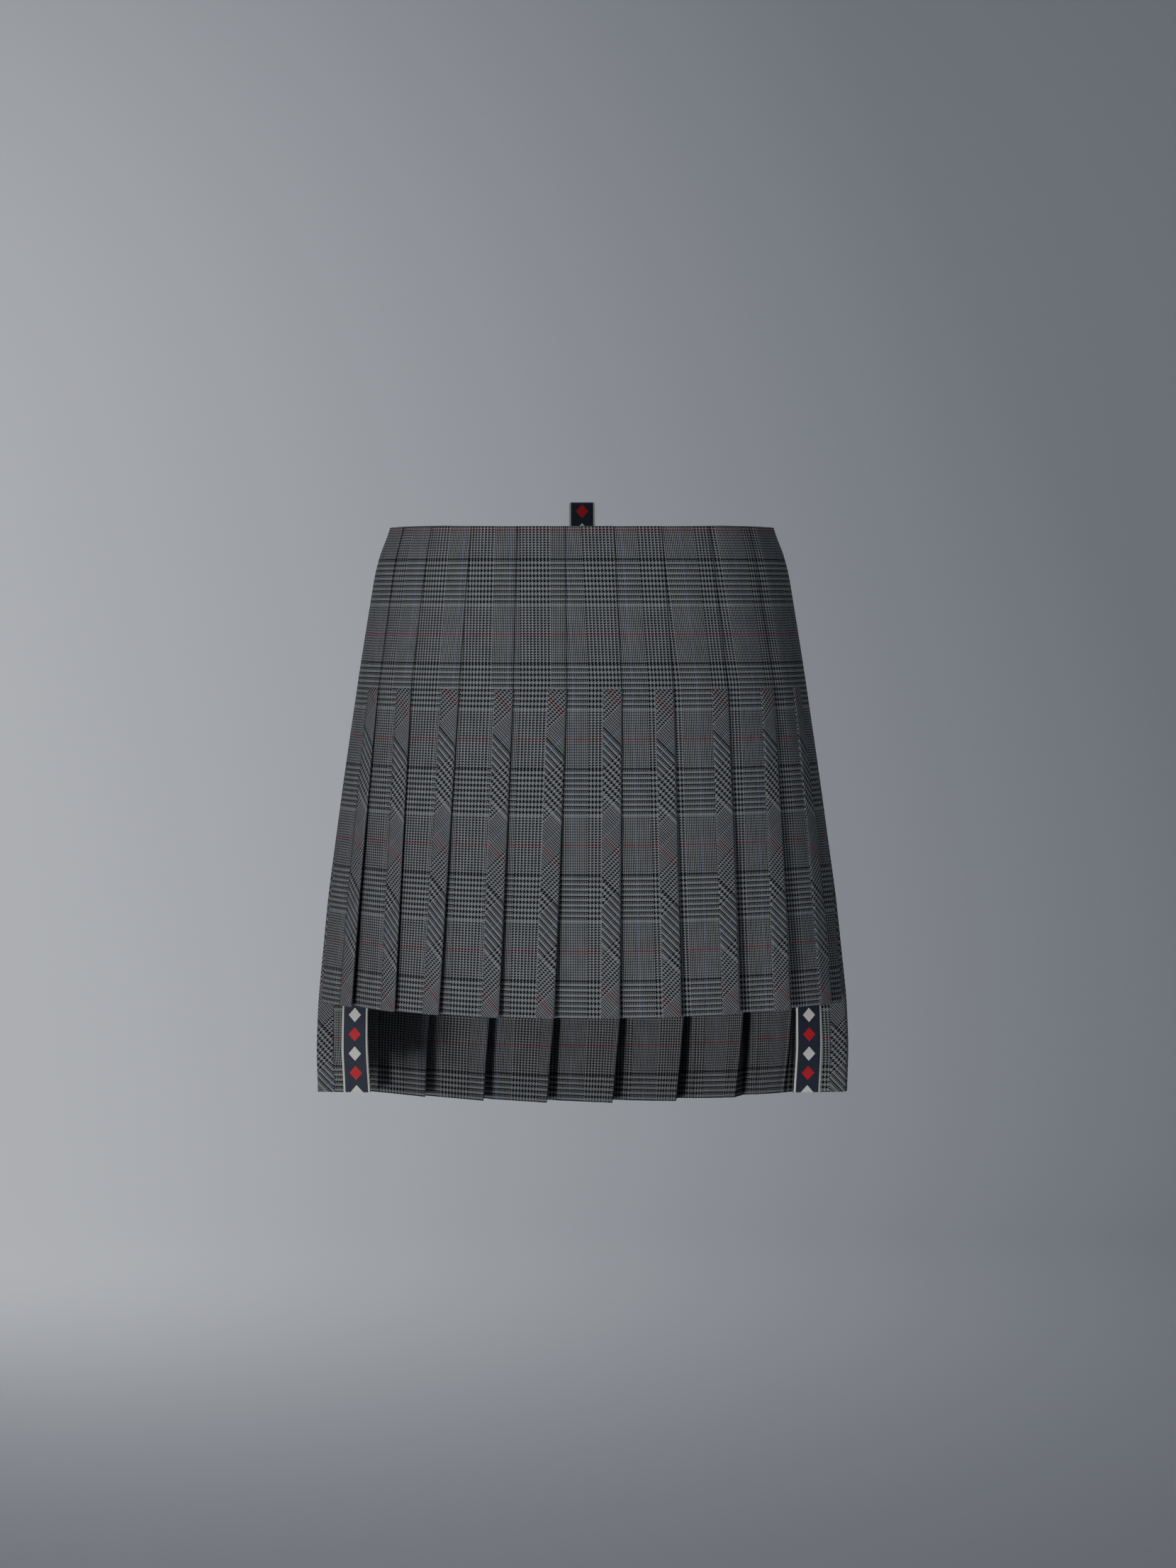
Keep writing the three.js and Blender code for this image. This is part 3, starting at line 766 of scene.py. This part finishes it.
def loop_points():
    """Up one leg, over a half circle of radius r, and down the other, carried across the ribbon. At the
    waist, where it is sewn down, the legs are pinched together by 1 - s exp(-z^2 / spread)."""
    radius = (loop_high[1] - loop_low[1]) / 2 - LOOP_CLOTH / 2
    top = loop_high[2] - LOOP_CLOTH / 2 - radius
    leg, level = np.linspace(loop_low[2], top, LEG_POINTS), np.full(LEG_POINTS, radius)
    bend = np.linspace(0, math.pi, BEND_POINTS)[1:-1]
    depth = np.concatenate([-level, -radius * np.cos(bend), level])
    rise = np.concatenate([leg, top + radius * np.sin(bend), leg[::-1]])
    run = np.concatenate([[0], np.cumsum(np.hypot(np.diff(depth), np.diff(rise)))])
    pinch = 1 - PINCH["share"] * np.exp(-(rise**2) / PINCH["spread"])
    across = np.linspace(RIBBON_WIDTH / 2, -RIBBON_WIDTH / 2, LOOP_COLUMNS)
    columns = (depth * pinch, rise, run)
    y, z, down, side = np.broadcast_arrays(*(values[:, None] for values in columns), across)
    return np.dstack([loop_middle[0] + side, loop_middle[1] + y, z]) * MM, np.dstack([side, down]) * MM


points, grain = loop_points()
loop = mesh_piece("hanging_loop_woven", points[::-1], grain[::-1], LOOP_CLOTH, ribbon_finish)
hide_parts("hanging_loop")
print("the loop is", (loop_high - loop_low).round(1), "mm over all")

# %% [markdown]
# ## The waist facing
# A plain band finishes the inside of the waist, where it would lie on the wearer. Only a sliver of it shows
# from the front. It is a closed ring, so its last column joins its first.

# %% The waist facing
FACING_DEPTH = 36.0
FACING_EDGE = (-0.6, -1.4, -3.0)
FACING_LAYER = 4.6
FACING_COLUMNS = 240


def facing_points():
    """A closed band on the ring, one layer inside the pleats, from just under the edge."""
    z = np.concatenate([FACING_EDGE[:2], np.linspace(FACING_EDGE[2], -FACING_DEPTH, 12)])
    share = np.arange(FACING_COLUMNS) / FACING_COLUMNS
    arc = np.stack([ring_at(height)["total"] * share for height in z])
    band = np.stack([arc, np.full_like(arc, FACING_LAYER), arc], axis=-1)
    return placed(z, band, front_place), straight_grain(z, band)


points, cloth = facing_points()
facing = mesh_piece("waist_facing_satin", points, cloth, CLOTH, satin_finish, closed=True)
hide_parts("waist_facing")
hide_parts("front")
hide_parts("back")
print("the facing is", round(ring_at(0)["total"]), "mm round and", FACING_DEPTH, "mm deep")

# %% [markdown]
# ## One body of cloth
# Nothing here moves by itself, so every piece rides on the one body. The front and the back print the
# widths they were cut to.

# %% What rides on what, and the cuts
for piece in (front_piece, back_piece, facing, loop, *strips, *ribbons):
    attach(piece, "root")


def flat_width(path):
    """The widest row's own length, in metres: the sum of its short steps."""
    steps = np.diff(path[..., :2], axis=1)
    return float(np.linalg.norm(steps, axis=-1).sum(axis=1).max()) * MM


print("front cut", round(flat_width(front), 3), "m wide, back cut", round(flat_width(back), 3))

# %% [markdown]
# ## The studio
# A grey floor runs into a round wall, so that no edge shows behind the skirt. The paper's colour is painted
# darker towards the right and towards the top: painted shade, standing in for the light falling off.

# %% Studio
STUDIO = {"floor": -1.0, "radius": 4.8, "cove": 1.2, "height": 3.4}
# The paper's lit tone and shaded tone, and the way across the room in which painted shade deepens
PAPER_PAINTED_LIT, PAPER_PAINTED_SHADE = "#b8bac0", "#8b8e95"
PAINTED_SHADE_SLOPE = (0.5, 0, 0.25)


def studio_wall():
    """A profile turned round the middle: flat floor, a quarter circle, then a straight wall."""
    bend = np.linspace(0, math.pi / 2, 12)
    straight, cove = STUDIO["radius"] - STUDIO["cove"], STUDIO["cove"]
    level, wall = [0.0002, 1, 2, 3], [2.3, STUDIO["height"]]
    out = np.concatenate([level, straight + cove * np.sin(bend), [STUDIO["radius"]] * len(wall)])
    up = np.concatenate([[0] * len(level), cove * (1 - np.cos(bend)), wall])
    turn = np.linspace(0, 2 * math.pi, 96, endpoint=False)
    x, y = out[:, None] * np.cos(turn), out[:, None] * np.sin(turn)
    points = np.dstack([x, y, np.broadcast_to(up[:, None] + STUDIO["floor"], x.shape)])
    mesh = bpy.data.meshes.new("studio")
    faces = grid_faces(*x.shape, closed=True)
    mesh.from_pydata(points.reshape(-1, 3).tolist(), [], faces.tolist())
    mesh.polygons.foreach_set("use_smooth", np.ones(len(faces), bool))
    studio = bpy.data.objects.new("studio", mesh)
    bpy.context.collection.objects.link(studio)
    material = bpy.data.materials.new("backdrop paper with painted shade")
    material.use_nodes = True
    tree = material.node_tree
    shader = tree.nodes["Principled BSDF"]
    place = add(tree, "ShaderNodeTexCoord")
    slope = add(
        tree,
        "ShaderNodeVectorMath",
        {0: place.outputs["Object"], 1: PAINTED_SHADE_SLOPE},
        operation="DOT_PRODUCT",
    )
    painted_shade_share = add(
        tree,
        "ShaderNodeMapRange",
        {"Value": slope.outputs["Value"], "From Min": -0.55, "From Max": 0.45},
    )
    # Painted shade: the paper goes from its lit tone to its shaded tone towards the right and the top
    shade = mixed(tree, painted_shade_share, linear(PAPER_PAINTED_LIT), linear(PAPER_PAINTED_SHADE))
    tree.links.new(shade, shader.inputs["Base Color"])
    shader.inputs["Roughness"].default_value = 0.9
    mesh.materials.append(material)


studio_wall()
print("the wall stands", STUDIO["radius"], "m from the middle")

# %% [markdown]
# ## The lights
# A large soft light stands to the front left and a weaker one to the right, which leaves a soft shadow
# beside each strip. A low light reaches in under the front hem to the inner back. Two more light only the
# paper, and the air of the room fills the rest.

# %% Lights
def soft_light(name, at, aim, size, power, tint):
    """A square area light, turned to face its aim."""
    data = bpy.data.lights.new(name, "AREA")
    data.size, data.energy, data.color = size, power, tint
    lamp = bpy.data.objects.new(name, data)
    lamp.location = at
    way = np.array(aim) - np.array(at)
    level = math.hypot(way[0], way[1])
    lamp.rotation_euler = (math.atan2(level, -way[2]), 0, math.atan2(-way[0], way[1]))
    bpy.context.collection.objects.link(lamp)


# Each light's name, place, aim, size in metres, power in watts and tint
for light in (
    ("key", (-2.1, -2.4, 1.0), (0, 0, -0.2), 1.0, 12, (1.0, 0.99, 0.97)),
    ("low", (-1.2, -2.8, -0.72), (0, 0.1, -0.4), 0.5, 34, (1.0, 0.99, 0.98)),
    ("fill", (2.4, -2.2, 0.6), (0, 0, -0.2), 1.8, 10, (0.96, 0.98, 1.0)),
    ("backdrop", (-1.65, 3.0, 0.35), (0, 3.96, -0.05), 0.7, 38, (0.97, 0.98, 1.0)),
    ("floor", (-0.6, 2.2, 1.4), (-0.4, 2.6, -1.0), 0.9, 5, (0.97, 0.98, 1.0)),
):
    soft_light(*light)
world = bpy.data.worlds.new("studio air")
world.use_nodes = True
world.node_tree.nodes["Background"].inputs["Color"].default_value = linear("#d4d8de")
world.node_tree.nodes["Background"].inputs["Strength"].default_value = 0.35
bpy.context.scene.world = world

# %% [markdown]
# ## The camera
# The skirt was seen from far off with a long lens, a little above its middle and looking slightly down.

# %% Camera
CAMERA = {"x": 0.0044, "distance": 3.4, "height": -0.049, "down": 2.29, "lens": 107.9}
camera_data = bpy.data.cameras.new("camera")
camera_data.lens = CAMERA["lens"]
camera = bpy.data.objects.new("camera", camera_data)
camera.location = (CAMERA["x"], -CAMERA["distance"], CAMERA["height"])
camera.rotation_euler = (math.radians(90 - CAMERA["down"]), 0, 0)
bpy.context.collection.objects.link(camera)
bpy.context.scene.camera = camera
print("the camera stands", CAMERA["distance"], "m off with a", CAMERA["lens"], "mm lens")
